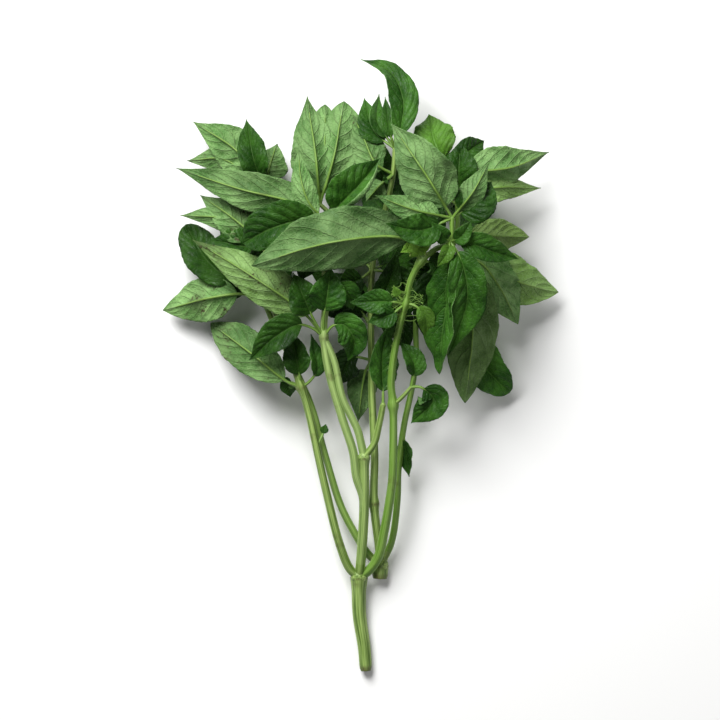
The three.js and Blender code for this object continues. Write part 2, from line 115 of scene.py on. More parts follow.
def path_through(points):
    """Points, and the length so far, along a smooth curve through these points."""
    knots = [Vector(p) for p in points]
    knots = [2 * knots[0] - knots[1], *knots, 2 * knots[-1] - knots[-2]]
    line = [knots[1]]
    for a, b, c, d in zip(knots, knots[1:], knots[2:], knots[3:]):
        ab, bc, cd = (math.sqrt((q - p).length) for p, q in ((a, b), (b, c), (c, d)))
        leave = bc * ((b - a) / ab - (c - a) / (ab + bc) + (c - b) / bc)
        arrive = bc * ((c - b) / bc - (d - b) / (bc + cd) + (d - c) / cd)
        line += geometry.interpolate_bezier(b, b + leave / 3, c - arrive / 3, c, CURVE_POINTS)[1:]
    lengths = [0.0]
    for p, q in zip(line, line[1:]):
        lengths.append(lengths[-1] + (q - p).length)
    return line, lengths


def along(path, distance):
    """The point and the direction that far along a path."""
    line, lengths = path
    i = min(max(bisect.bisect_right(lengths, distance), 1), len(line) - 1)
    share = (distance - lengths[i - 1]) / (lengths[i] - lengths[i - 1])
    before = line[max(i - 2, 0)]
    after = line[min(i + 1, len(line) - 1)]
    return line[i - 1].lerp(line[i], share), (after - before).normalized()


def add_tube(
    bm, path, start, end, radius_at, scars=(), sides=STEM_SIDES, square=SQUARENESS, shift=None,
    pale=0, fresh=0,
):
    """A stem: a grid rolled up round the path, open along its seam and at its ends for now."""
    tints = [(bm.verts.layers.float["pale"], pale), (bm.verts.layers.float["fresh"], fresh)]
    grain = bm.verts.layers.float_vector["grain"]
    ridge = bm.verts.layers.float["ridge"]
    scar = bm.verts.layers.float["scar"]
    rings = max(FEWEST_RINGS, round((end - start) / STEM_RING))
    grid = bmesh.ops.create_grid(bm, x_segments=sides, y_segments=rings, size=1)["verts"]
    for v in grid:
        angle = math.pi * v.co.x
        distance = start + (end - start) * (v.co.y + 1) / 2
        centre, ahead = along(path, distance)
        side = ahead.cross(UP).normalized()
        lift = side.cross(ahead)
        radius = radius_at(distance) * (1 + square * math.cos(CORNERS * angle))
        place = centre + radius * (math.cos(angle) * lift + math.sin(angle) * side)
        if shift:
            place += shift(distance)
        place.z = max(place.z, 0)
        v[grain] = (math.cos(angle), math.sin(angle), distance / GRAIN_LENGTH)
        v[ridge] = math.cos(CORNERS * angle)
        v[scar] = min(1, sum(math.exp(-(((distance - d) / SCAR_WIDTH) ** 2)) for d in scars))
        for layer, tint in tints:
            v[layer] = tint
        v.co = place * MM


def add_knob(bm, place, radius, pale, fresh):
    """The rounded end of a stem, or the swelling that its branches grow from."""
    grain = bm.verts.layers.float_vector["grain"]
    tints = [(bm.verts.layers.float["pale"], pale), (bm.verts.layers.float["fresh"], fresh)]
    ball = bmesh.ops.create_uvsphere(
        bm, u_segments=STEM_SIDES, v_segments=KNOB_RINGS, radius=radius
    )["verts"]
    for v in ball:
        v[grain] = v.co / radius
        for layer, tint in tints:
            v[layer] = tint
        v.co = (Vector(place) + v.co) * MM


def close_tubes(bm):
    """Joins every stem along its seam and closes its ends. Returns the end faces."""
    bmesh.ops.remove_doubles(bm, verts=bm.verts, dist=WELD_DISTANCE)
    for face in bm.faces:
        face.smooth = True
    rims = [e for e in bm.edges if e.is_boundary]
    ends = bmesh.ops.edgeloop_fill(bm, edges=rims)["faces"]
    for rim in rims:
        rim.smooth = False
    bmesh.ops.recalc_face_normals(bm, faces=bm.faces)
    return ends


def add_shoot(bm, points, thick, thin, start=0, end=None, swell=(), cut=False, pale=0, fresh=0):
    """A tapering stem; swell lists the joints along it, each with its radius, and cut its lower end."""
    path = path_through(points)
    line, lengths = path
    total = lengths[-1]
    joints = []
    for place, radius in swell:
        nearest = min(range(len(line)), key=lambda i: (line[i] - Vector(place)).length)
        joints.append((lengths[nearest], radius))

    def radius_at(distance):
        plain = thick + (thin - thick) * distance / total
        swollen = sum((r - plain) * math.exp(-(((distance - d) / r) ** 2)) for d, r in joints)
        rounded = CUT_ROUNDING * math.exp(-((distance / CUT_LENGTH) ** 2)) if cut else 0
        return (plain + swollen) * (1 - rounded)

    scars = [d for d, _ in joints] + ([0, CUT_LENGTH] if cut else [])
    add_tube(bm, path, start, end or total, radius_at, scars, pale=pale, fresh=fresh)
    if not end:
        add_knob(bm, points[-1], radius_at(total), pale, fresh)


def new_stalks():
    """An empty mesh with the stem's own grain and scars, its ridges (its ribbing, with painted shade in the
    grooves), its fresh tint and its pale tint of painted highlight.
    """
    bm = bmesh.new()
    bm.verts.layers.float_vector.new("grain")
    for layer in ("ridge", "scar", "pale", "fresh"):
        bm.verts.layers.float.new(layer)
    return bm


def finish_piece(bm, name, materials, node):
    """The finished mesh as one object that stands in for the node."""
    mesh = bpy.data.meshes.new(name)
    bm.to_mesh(mesh)
    bm.free()
    for material in materials:
        mesh.materials.append(material)
    piece = bpy.data.objects.new(name, mesh)
    bpy.context.collection.objects.link(piece)
    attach(piece, "root")
    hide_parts(node)
    return piece


def wire(tree, kind, sockets=None, **settings):
    """A shader node with its settings, and each socket either linked or set."""
    made = tree.nodes.new(kind)
    for name, value in settings.items():
        setattr(made, name, value)
    for key, value in (sockets or {}).items():
        if isinstance(value, bpy.types.NodeSocket):
            tree.links.new(value, made.inputs[key])
        else:
            made.inputs[key].default_value = value
    return made


def math_of(tree, operation, *values):
    return wire(tree, "ShaderNodeMath", dict(enumerate(values)), operation=operation).outputs[0]


def attribute_of(tree, name, output="Fac"):
    return wire(tree, "ShaderNodeAttribute", attribute_name=name).outputs[output]


def noise_of(tree, place, scale, detail, roughness=0.5):
    sockets = {"Vector": place, "Scale": scale, "Detail": detail, "Roughness": roughness}
    return wire(tree, "ShaderNodeTexNoise", sockets).outputs["Fac"]


def colour_mix(tree, share, first, second):
    """The first colour where share is 0 and the second where it is 1."""
    sockets = {"Factor": share, "A": first, "B": second}
    made = tree.nodes.new("ShaderNodeMix")
    made.data_type = "RGBA"
    for key, value in sockets.items():
        socket = next(s for s in made.inputs if s.name == key and s.enabled)
        if isinstance(value, bpy.types.NodeSocket):
            tree.links.new(value, socket)
        else:
            socket.default_value = value
    return next(s for s in made.outputs if s.enabled)


def ramp_of(tree, value, low, high):
    """0 below low, 1 above high and smooth between."""
    sockets = {"Value": value, "From Min": low, "From Max": high}
    return wire(tree, "ShaderNodeMapRange", sockets, interpolation_type="SMOOTHSTEP").outputs["Result"]


GROOVE_GREEN = (0.075, 0.145, 0.016, 1)
RIDGE_GREEN = (0.33, 0.47, 0.13, 1)
# PALE_GREEN is painted highlight, laid on the stems given a pale tint
PALE_GREEN = (0.40, 0.56, 0.22, 1)
FRESH_GREEN = (0.105, 0.25, 0.020, 1)
SCAR_BROWN = (0.085, 0.07, 0.025, 1)
STREAK_STRETCH = (2.4, 2.4, 0.5)  # the first two across the stem, the third along it
# RIDGE_SHARE: the stem's own paler ribbing, with painted shade in the grooves between
RIDGE_SHARE = 0.26  # how much paler a corner is
PATCH_SHARE = 0.4
SCRATCH_SHARE = 0.6
STEM_RELIEF = 0.0006

stem_skin = bpy.data.materials.new("stem skin")
stem_skin.use_nodes = True
tree = stem_skin.node_tree
shader = tree.nodes["Principled BSDF"]
grain = {0: attribute_of(tree, "grain", "Vector"), 1: STREAK_STRETCH}
stretch = wire(tree, "ShaderNodeVectorMath", grain, operation="MULTIPLY").outputs[0]
streaks = noise_of(tree, stretch, 1.7, 5)
objects = wire(tree, "ShaderNodeTexCoord").outputs["Object"]
patches = noise_of(tree, objects, 60, 2)
pale = ramp_of(tree, streaks, 0.3, 0.72)
# the corners paler and the grooves darker: the stem's own ribbing, with painted shade in the grooves
pale = math_of(tree, "MULTIPLY_ADD", attribute_of(tree, "ridge"), RIDGE_SHARE, pale)
pale = math_of(tree, "MULTIPLY_ADD", patches, PATCH_SHARE, math_of(tree, "SUBTRACT", pale, PATCH_SHARE / 2))
green = colour_mix(tree, pale, GROOVE_GREEN, RIDGE_GREEN)
green = colour_mix(tree, attribute_of(tree, "fresh"), green, FRESH_GREEN)
# painted highlight: the pale tint lightens the front middle stems towards PALE_GREEN
green = colour_mix(tree, attribute_of(tree, "pale"), green, PALE_GREEN)
old = math_of(tree, "SUBTRACT", 1, attribute_of(tree, "fresh"))
scarred = math_of(tree, "MULTIPLY", attribute_of(tree, "scar"), ramp_of(tree, streaks, 0.35, 0.6))
scarred = math_of(tree, "MULTIPLY", scarred, math_of(tree, "POWER", old, 3))
blotches = noise_of(tree, objects, 95, 4)
scratched = math_of(tree, "MULTIPLY", ramp_of(tree, blotches, 0.6, 0.7), ramp_of(tree, streaks, 0.42, 0.55))
scarred = math_of(tree, "MAXIMUM", scarred, math_of(tree, "MULTIPLY", scratched, SCRATCH_SHARE))
tree.links.new(colour_mix(tree, scarred, green, SCAR_BROWN), shader.inputs["Base Color"])
bump = wire(tree, "ShaderNodeBump", {"Height": streaks, "Strength": 0.35, "Distance": STEM_RELIEF})
tree.links.new(bump.outputs["Normal"], shader.inputs["Normal"])
shader.inputs["Roughness"].default_value = 0.42
shader.inputs["Specular IOR Level"].default_value = 0.35

CUT_RIM = (0.055, 0.065, 0.022, 1)
CUT_CORE = (0.13, 0.12, 0.05, 1)

cut_face = bpy.data.materials.new("browned cut")
cut_face.use_nodes = True
tree = cut_face.node_tree
shader = tree.nodes["Principled BSDF"]
objects = wire(tree, "ShaderNodeTexCoord").outputs["Object"]
pith = noise_of(tree, objects, 700, 3)
cut_colour = colour_mix(tree, ramp_of(tree, pith, 0.35, 0.65), CUT_RIM, CUT_CORE)
tree.links.new(cut_colour, shader.inputs["Base Color"])
shader.inputs["Roughness"].default_value = 0.6

FRONT_FORK = (-0.5, -106, 7.5)
LEFT_JOINT = (-29.5, -10.5, 26)
LEFT_CROWN = (-47, 58, 26)
LEFT_TIP = (-48, 88, 20)
MIDDLE_FORK = (2, -45.5, 22)
RIGHT_JOINT = (16.5, -19.5, 30)
RIGHT_BEND = (22.5, 31, 41.5)
RIGHT_NECK = (30, 51.5, 48.5)
RIGHT_HEAD = (44.5, 61.5, 53)
RIGHT_TIP = (45.5, 73, 55)
FRONT_MAIN = ((3, -153.5, 3), (2.2, -142, 3.3), (-0.3, -124.5, 4.6), FRONT_FORK)
FRONT_LEFT = (
    FRONT_FORK, (-5, -102, 9.5), (-10, -90, 13), (-18, -58, 18.5), (-26.5, -20, 24), LEFT_JOINT,
    (-37.5, 13, 27), (-44, 33, 25.5), LEFT_CROWN, LEFT_TIP,
)
FRONT_MIDDLE = (FRONT_FORK, (0, -102.5, 10), (1.5, -83.5, 14), (2.25, -64.5, 18), MIDDLE_FORK)
FRONT_RIGHT = (
    FRONT_FORK, (4.5, -102.5, 9.5), (9, -96, 12), (12, -83.5, 15.5), (16, -58, 22), (16.5, -45.5, 25),
    RIGHT_JOINT, (15.5, -8.5, 32), (18.5, 14.5, 37), RIGHT_BEND, (25.5, 43.5, 45.5),
    RIGHT_NECK, (37, 57.5, 51), RIGHT_HEAD, RIGHT_TIP,
)


def brown_cut(ends, place):
    """The end face nearest to the cut gets the browned material."""
    cut = min(ends, key=lambda face: (face.calc_center_median() / MM - Vector(place)).length)
    cut.material_index = 1


stalks = new_stalks()
add_shoot(stalks, FRONT_MAIN, 2.9, 3.5, swell=[(FRONT_FORK, 4.2)], cut=True)
add_shoot(stalks, FRONT_LEFT, 2.1, 1.2, end=STOCK_STUB)
add_shoot(stalks, FRONT_MIDDLE, 2.3, 2.3, end=STOCK_STUB)
add_shoot(stalks, FRONT_RIGHT, 2.3, 1.2, end=STOCK_STUB, fresh=0.55)
brown_cut(close_tubes(stalks), FRONT_MAIN[0])
finish_piece(stalks, "front_stock_stem", [stem_skin, cut_face], "front_stock")

# Front left stem: a leafy branch whose blades grow in pairs from its joints, each a thin limp blade
# with sunken veins above, raised pale veins beneath and a softly toothed, waved edge.
BASE_ROUND = 0.65
TIP_TAPER = 1.25
EDGE_WAVES = 2.4
EDGE_RIPPLE = 0.05
GOLDEN_STEP = 0.618
SWAY = 12  # degrees by which a blade twists of itself from stalk to tip
LATERAL_VEINS = 7
VEIN_LEAN = 0.22  # how far a side vein runs forward on its way to the edge
VEIN_SWEEP = 0.10
TEETH = 13
TOOTH_DEPTH = 0.035
UNEVEN_EDGE = 0.10  # share of the half width by which a blade is wider or narrower than its outline
EDGE_LUMPS = 5
QUILTING = 0.05  # bulge between two side veins, over the leaf's width
MIDRIB_GROOVE = 0.018
CRUMPLE = 0.10
CRUMPLE_LENGTH = 15
FINE_CRUMPLE = 0.3  # height of the small crumples over the large ones
RUFFLE_WAVES = 6.3
RUFFLE = 0.022
BLADE_THICKNESS = 0.35
TABLE_GAP = 0.02
TIP_REACH = 0.15  # least half width at the tip, and how much more of it there is at the stalk
BASE_REACH = 0.5
GROOVE_WIDTH = 0.1  # half width of the midrib's groove, over the blade's
BROAD_LEAF = 12
BROAD_CELLS = (40, 24)  # cells along and across a blade
NARROW_CELLS = (22, 14)
TONE_SPREAD = 0.35
STALK_RADIUS = 0.8
STALK_TAPER = 0.15
RIB_TIP = 0.12  # radius of a midrib at its end
RIB_LENGTH = 0.82  # share of the blade that the raised midrib runs along
RIB_SINK = 1.2
RIB_SIDES = 8
RIB_FRESH = 0.45
STRAIGHT = 0.01  # a curl smaller than this is none
leaf_count = 0
chance = random.Random(4)


def outline(t, taper):
    """Half width of a blade over its greatest, from stalk to tip."""
    widest = BASE_ROUND / (BASE_ROUND + taper)
    return (t / widest) ** BASE_ROUND * (max(1 - t, 0) / (1 - widest)) ** taper


def bent(share, fold, curl):
    """Out and up across one half of the blade, which leaves the midrib at fold and turns by curl."""
    if abs(curl) < STRAIGHT:
        return share * math.cos(fold), share * math.sin(fold)
    end = fold + curl * share
    return (math.sin(end) - math.sin(fold)) / curl, (math.cos(fold) - math.cos(end)) / curl


def leaf_frame(path, distance, turn):
    """The midrib point, the blade's upper normal and its right-hand side."""
    centre, ahead = along(path, distance)
    normal = (UP - UP.dot(ahead) * ahead).normalized()
    normal.rotate(Quaternion(ahead, math.radians(turn)))
    return centre, normal, ahead.cross(normal)


def add_leaf(
    blades, stalks, points, wide, turn=0, twist=0, fold=(18, 18), curl=(0, 0), stalk=7, taper=TIP_TAPER,
    tone=0.0, young=0.0, spots=0.0, crumpled=1.0,
):
    """A blade from a grid shaped like the leaf, and its stalk, which runs on as a raised midrib."""
    global leaf_count
    path = path_through(points)
    total = path[1][-1]
    phase = GOLDEN_STEP * leaf_count
    leaf_count += 1
    twist += SWAY * math.sin(2 * math.pi * phase)
    long_cells, wide_cells = BROAD_CELLS if wide > BROAD_LEAF else NARROW_CELLS
    layers = {name: blades.verts.layers.float[name] for name in ("tone", "young", "spots")}
    values = {"tone": tone + chance.uniform(-TONE_SPREAD, TONE_SPREAD), "young": young, "spots": spots}
    grid = bmesh.ops.create_grid(
        blades, x_segments=wide_cells, y_segments=long_cells, size=1, calc_uvs=True
    )["verts"]

    def crumple(place, t):
        spot = place / CRUMPLE_LENGTH + Vector((phase, 0, 0))
        folds = noise.noise(spot) + FINE_CRUMPLE * noise.noise(3 * spot)
        return crumpled * folds * CRUMPLE * wide * outline(t, taper)

    rows = {}
    for v in grid:
        t = (v.co.y + 1) / 2
        row = round(t * long_cells)
        if row not in rows:
            rows[row] = leaf_frame(path, stalk + (total - stalk) * t, turn + twist * t)
        centre, normal, side = rows[row]
        half = 0 if v.co.x < 0 else 1
        share = abs(v.co.x)
        shape = outline(t, taper)
        tooth = 1 - TOOTH_DEPTH * ((TEETH * t + phase + half / 2) % 1)
        tooth += UNEVEN_EDGE * noise.noise(Vector((EDGE_LUMPS * t, 7 * phase, half)))
        reach = max(wide / 2 * shape * tooth, TIP_REACH + BASE_REACH * (1 - t))
        out, up = bent(share, math.radians(fold[half]), math.radians(curl[half]))
        ripple = math.sin(2 * math.pi * (EDGE_WAVES * t + phase + half / 3)) * EDGE_RIPPLE * wide * shape
        between = (LATERAL_VEINS * (t - VEIN_LEAN * share - VEIN_SWEEP * share**2)) % 1
        bulge = QUILTING * wide * shape * 4 * between * (1 - between) * 4 * share * (1 - share)
        groove = MIDRIB_GROOVE * wide * shape * math.exp(-((share / GROOVE_WIDTH) ** 2))
        place = centre + (1 if half else -1) * reach * out * side
        ruffle = math.sin(2 * math.pi * (RUFFLE_WAVES * t + 3 * phase + half / 2)) * RUFFLE * wide * shape
        rise = reach * up + ripple * share**2 + ruffle * share**3 + bulge - groove + crumple(place, t)
        place += rise * normal
        place.z = max(place.z, BLADE_THICKNESS / 2 + TABLE_GAP)
        v.co = place * MM
        for name, layer in layers.items():
            v[layer] = values[name]
    for face in {f for v in grid for f in v.link_faces}:
        face.smooth = True

    def radius_at(distance):
        if distance < stalk:
            return STALK_RADIUS * (1 - STALK_TAPER * distance / stalk)
        t = (distance - stalk) / (total - stalk)
        return STALK_RADIUS * (1 - STALK_TAPER) * min(1, 0.35 + wide / 40) * (1 - t) + RIB_TIP

    def shift(distance):
        t = max(0, (distance - stalk) / (total - stalk))
        centre, normal, _ = leaf_frame(path, distance, turn + twist * t)
        sunk = MIDRIB_GROOVE * wide * outline(t, taper) + RIB_SINK * radius_at(distance) * min(1, 8 * t)
        return normal * (crumple(centre, t) - sunk)

    rib_end = stalk + RIB_LENGTH * (total - stalk)
    add_tube(stalks, path, 0, rib_end, radius_at, sides=RIB_SIDES, square=0, shift=shift, fresh=RIB_FRESH)


leaf_veins = bpy.data.node_groups.new("leaf veins", "ShaderNodeTree")
for output in ("Veins", "Net", "Mottle"):
    leaf_veins.interface.new_socket(output, in_out="OUTPUT", socket_type="NodeSocketFloat")
tree = leaf_veins
on_leaf = wire(tree, "ShaderNodeUVMap", uv_map="leaf").outputs[0]
across_and_along = wire(tree, "ShaderNodeSeparateXYZ", {0: on_leaf}).outputs
objects = wire(tree, "ShaderNodeTexCoord").outputs["Object"]
wobble = noise_of(tree, objects, 130, 2)
mottle = noise_of(tree, objects, 70, 6, roughness=0.65)
share = math_of(tree, "ABSOLUTE", math_of(tree, "MULTIPLY_ADD", across_and_along["X"], 2, -1))
lean = math_of(tree, "MULTIPLY", share, math_of(tree, "MULTIPLY_ADD", share, VEIN_SWEEP, VEIN_LEAN))
height = math_of(tree, "SUBTRACT", across_and_along["Y"], lean)
height = math_of(tree, "MULTIPLY_ADD", math_of(tree, "SUBTRACT", wobble, 0.5), 0.045, height)
between = math_of(tree, "FRACT", math_of(tree, "MULTIPLY", height, LATERAL_VEINS))
gap = math_of(tree, "ABSOLUTE", math_of(tree, "SUBTRACT", between, 0.5))
side_vein = ramp_of(tree, gap, 0.42, 0.5)
side_vein = math_of(tree, "MULTIPLY", side_vein, math_of(tree, "MULTIPLY_ADD", share, -0.65, 1))
midrib = ramp_of(tree, share, 0.075, 0.02)
cells = wire(
    tree, "ShaderNodeTexVoronoi", {"Vector": objects, "Scale": 480}, feature="DISTANCE_TO_EDGE"
).outputs["Distance"]
group_out = tree.nodes.new("NodeGroupOutput")
tree.links.new(math_of(tree, "MAXIMUM", side_vein, midrib), group_out.inputs["Veins"])
tree.links.new(ramp_of(tree, cells, 0.16, 0.02), group_out.inputs["Net"])
tree.links.new(mottle, group_out.inputs["Mottle"])

STAIN_GREEN = (0.050, 0.075, 0.024, 1)
SPOT_BROWN = (0.045, 0.035, 0.016, 1)
STAIN_SHARE = 0.55
TONE_SHARE = 0.5  # change of brightness for a tone of 1
CLOUD_SHARE = 0.9
VEIN_RELIEF = 0.0008


def leaf_skin(name, dark, light, vein, young, vein_share, net_share, relief, roughness, gloss):
    """One side of the blade; relief is positive where the veins stand up and negative where they sink."""
    material = bpy.data.materials.new(name)
    material.use_nodes = True
    tree = material.node_tree
    shader = tree.nodes["Principled BSDF"]
    pattern = wire(tree, "ShaderNodeGroup", node_tree=leaf_veins)
    veins, net, mottle = (pattern.outputs[output] for output in ("Veins", "Net", "Mottle"))
    colour = colour_mix(tree, ramp_of(tree, mottle, 0.36, 0.64), dark, light)
    colour = colour_mix(tree, attribute_of(tree, "young"), colour, young)
    colour = colour_mix(tree, math_of(tree, "MULTIPLY", net, net_share), colour, vein)
    colour = colour_mix(tree, math_of(tree, "MULTIPLY", veins, vein_share), colour, vein)
    objects = wire(tree, "ShaderNodeTexCoord").outputs["Object"]
    clouds = noise_of(tree, objects, 38, 3)
    # a leaf's tone: a random spread plus its given tone, which is painted shade on the leaves behind the
    # stems and painted light on one leaf hanging in shadow
    bright = math_of(tree, "MULTIPLY_ADD", attribute_of(tree, "tone"), TONE_SHARE, 1 - CLOUD_SHARE / 2)
    bright = math_of(tree, "MULTIPLY_ADD", clouds, CLOUD_SHARE, bright)
    colour = wire(tree, "ShaderNodeHueSaturation", {"Value": bright, "Color": colour}).outputs["Color"]
    specks = noise_of(tree, objects, 420, 2)
    areas = noise_of(tree, objects, 55, 1)
    speck = math_of(tree, "MULTIPLY", ramp_of(tree, specks, 0.56, 0.66), ramp_of(tree, areas, 0.45, 0.6))
    speck = math_of(tree, "MULTIPLY", speck, attribute_of(tree, "spots"))
    stain = math_of(tree, "MULTIPLY", ramp_of(tree, areas, 0.48, 0.68), attribute_of(tree, "spots"))
    colour = colour_mix(tree, math_of(tree, "MULTIPLY", stain, STAIN_SHARE), colour, STAIN_GREEN)
    colour = colour_mix(tree, speck, colour, SPOT_BROWN)
    tree.links.new(colour, shader.inputs["Base Color"])
    raised = math_of(tree, "MULTIPLY_ADD", net, 0.35, veins)
    bump = wire(tree, "ShaderNodeBump", {"Height": raised, "Strength": abs(relief), "Distance": VEIN_RELIEF})
    bump.invert = relief < 0
    tree.links.new(bump.outputs["Normal"], shader.inputs["Normal"])
    shader.inputs["Roughness"].default_value = roughness
    shader.inputs["Specular IOR Level"].default_value = gloss
    return material


upper_skin = leaf_skin(
    "leaf upper side", (0.010, 0.045, 0.004, 1), (0.036, 0.115, 0.012, 1), (0.070, 0.16, 0.028, 1),
    (0.13, 0.27, 0.030, 1), vein_share=0.4, net_share=0.10, relief=-0.6, roughness=0.40, gloss=0.12,
)
under_skin = leaf_skin(
    "leaf underside", (0.056, 0.145, 0.030, 1), (0.165, 0.300, 0.098, 1), (0.25, 0.39, 0.150, 1),
    (0.23, 0.33, 0.075, 1), vein_share=0.42, net_share=0.2, relief=0.8, roughness=0.55, gloss=0.15,
)


def grow_sprig(name, node, shoots, leaves):
    """One leafy stem: a piece for its stems and stalks, and one for its blades."""
    stalks = new_stalks()
    blades = bmesh.new()
    blades.loops.layers.uv.new("leaf")
    for layer in ("tone", "young", "spots"):
        blades.verts.layers.float.new(layer)
    for shoot in shoots:
        add_shoot(stalks, **shoot)
    for points, form in leaves:
        add_leaf(blades, stalks, points, **form)
    close_tubes(stalks)
    finish_piece(stalks, f"{name}_stalks", [stem_skin], node)
    piece = finish_piece(blades, f"{name}_blades", [upper_skin, under_skin], node)
    solidify = piece.modifiers.new("blade thickness", "SOLIDIFY")
    solidify.thickness = BLADE_THICKNESS * MM
    solidify.offset = 0
    solidify.material_offset = 1
    solidify.material_offset_rim = 1


grow_sprig(
    "front_left", "front_left_stem",
    [dict(points=FRONT_LEFT, thick=2.1, thin=1.2, start=STOCK_STUB, swell=[(LEFT_JOINT, 2.6)])],
    [
        ((LEFT_JOINT, (-36, -8, 27), (-54, 6, 24), (-75, 21.5, 9)),
         dict(wide=22, turn=180, fold=(8, 8), stalk=9, taper=0.75, spots=0.6)),
        ((LEFT_JOINT, (-30.5, -3, 29), (-32, 5.5, 30.5), (-34, 18, 29.5)),
         dict(wide=15, fold=(25, 25), tone=-0.4)),
        ((LEFT_JOINT, (-25.5, -8, 27), (-21.5, -2, 28), (-22.5, 7, 29), (-24.5, 16, 28)),
         dict(wide=10, turn=30, stalk=9)),
        ((LEFT_JOINT, (-35.5, -8, 23), (-35, -15.5, 17)), dict(wide=9, stalk=6)),
        (((-21, -39, 21), (-19, -35, 20.5), (-17, -29, 20)), dict(wide=4.5, stalk=6)),
        ((LEFT_CROWN, (-57.5, 69, 30), (-80, 85.5, 17)), dict(wide=21, turn=180, spots=0.8)),
        ((LEFT_CROWN, (-67, 73, 24), (-90, 75.5, 15)), dict(wide=15, turn=180)),
        ((LEFT_CROWN, (-60, 60, 27), (-74, 63, 22)), dict(wide=19, tone=-0.5)),
        ((LEFT_TIP, (-60, 106, 23), (-83.7, 122.5, 12)), dict(wide=25, turn=180, stalk=6)),
        ((LEFT_TIP, (-53, 103, 26), (-57, 123.5, 17)), dict(wide=17, fold=(30, 30))),
        ((LEFT_TIP, (-67.5, 103, 17), (-87, 103, 9)), dict(wide=18, turn=180, spots=0.5, tone=-0.3)),
        ((LEFT_TIP, (-45, 101, 17), (-41.5, 111.5, 11)), dict(wide=20, turn=180, spots=1)),
    ],
)

# Front middle stem: it forks in three above the stock and carries the leaves left of the middle,
# most of them dark upper sides folded along the midrib.
MIDDLE_JOINT = (-18, 14.5, 33.5)
MIDDLE_CROWN = (-17, 34.5, 37)
MIDDLE_TIP = (-17, 72, 43)
SIDE_JOINT = (11.5, -19.5, 27.5)
MIDDLE_LONG = (
    (1.9, -74, 16), (1.7, -66, 17.7), (-1.8, -55, 20.5), (-3.4, -43, 23), (-8.9, -26, 26),
    (-15.5, -3, 30.5), MIDDLE_JOINT, MIDDLE_CROWN, (-17.5, 52, 40), MIDDLE_TIP,
)
MIDDLE_THIN = (
    MIDDLE_FORK, (-1, -32.5, 24.5), (-4, -26, 25.8), (-8.5, -16.5, 28), (-13, 3, 31.5), MIDDLE_JOINT,
)
MIDDLE_SIDE = (MIDDLE_FORK, (7, -39, 23.5), (9.5, -29.5, 25.5), SIDE_JOINT)
grow_sprig(
    "front_middle", "front_middle_stem",
    [
        # painted highlight: pale lightens these stems
        dict(points=FRONT_MIDDLE, thick=2.3, thin=2.3, start=STOCK_STUB,
             swell=[(MIDDLE_FORK, 3)], pale=0.15),
        dict(points=MIDDLE_LONG, thick=2.2, thin=1.4, swell=[(MIDDLE_JOINT, 2.4)], pale=0.3),
        dict(points=MIDDLE_THIN, thick=1.9, thin=1.5, pale=0.35),
        dict(points=MIDDLE_SIDE, thick=1.7, thin=1.4),
    ],
    [
        ((MIDDLE_JOINT, (-27.5, 26, 37), (-52.5, 44, 39), (-83.5, 63, 28)),
         dict(wide=23, turn=180, fold=(10, 25), stalk=14, young=0.25, spots=0.9, tone=0.3)),
        ((MIDDLE_JOINT, (-24, 19, 35.5), (-31, 20.5, 37), (-41.5, 15, 37), (-55, 3, 31)),
         dict(wide=19, fold=(35, 20), stalk=13, tone=-0.4)),
        ((MIDDLE_JOINT, (-23, 23, 38.5), (-27, 32, 43), (-33, 46, 43)),
         dict(wide=18, fold=(30, 5), stalk=15, tone=-0.4)),
        ((MIDDLE_JOINT, (-18, 24, 38.5), (-16.5, 33, 43), (-14.5, 49, 44)), dict(wide=20, stalk=15)),
        ((MIDDLE_CROWN, (-11, 38, 40), (-6.5, 36, 39.5), (-3.5, 28, 34)), dict(wide=13)),
        ((MIDDLE_JOINT, (-13.5, 20, 36.5), (-8, 20.5, 38), (-3, 13, 36), (-6, 2.5, 31)),
         dict(wide=18, fold=(30, 30), stalk=9)),
        ((MIDDLE_TIP, (-30, 72, 48.5), (-44, 68, 48), (-58, 61, 40)),
         dict(wide=25, fold=(20, 20), stalk=6, taper=0.75, tone=-0.3, crumpled=0.2)),
        ((MIDDLE_TIP, (-30, 60, 44), (-52.5, 52, 42)), dict(wide=16, tone=-0.4)),
        ((MIDDLE_TIP, (-24, 57, 40), (-30, 42, 37)), dict(wide=21, tone=-0.5)),
        ((MIDDLE_TIP, (-30, 80, 43), (-60, 88, 38), (-92, 99, 20)),
         dict(wide=21, turn=180, fold=(-5, 20), stalk=8, tone=-0.2)),
        ((MIDDLE_TIP, (-25, 80.5, 45), (-29, 91.5, 45), (-30.5, 108, 37)),
         dict(wide=13, turn=180, stalk=5)),
        ((MIDDLE_TIP, (-12, 78, 46.5), (-2, 88, 49), (10, 103, 44)),
         dict(wide=27, fold=(25, 0), curl=(0, 150))),
        ((SIDE_JOINT, (11.5, -9.5, 27), (11, 5.5, 28), (14.5, 21, 30)), dict(wide=17, turn=28)),
    ],
)

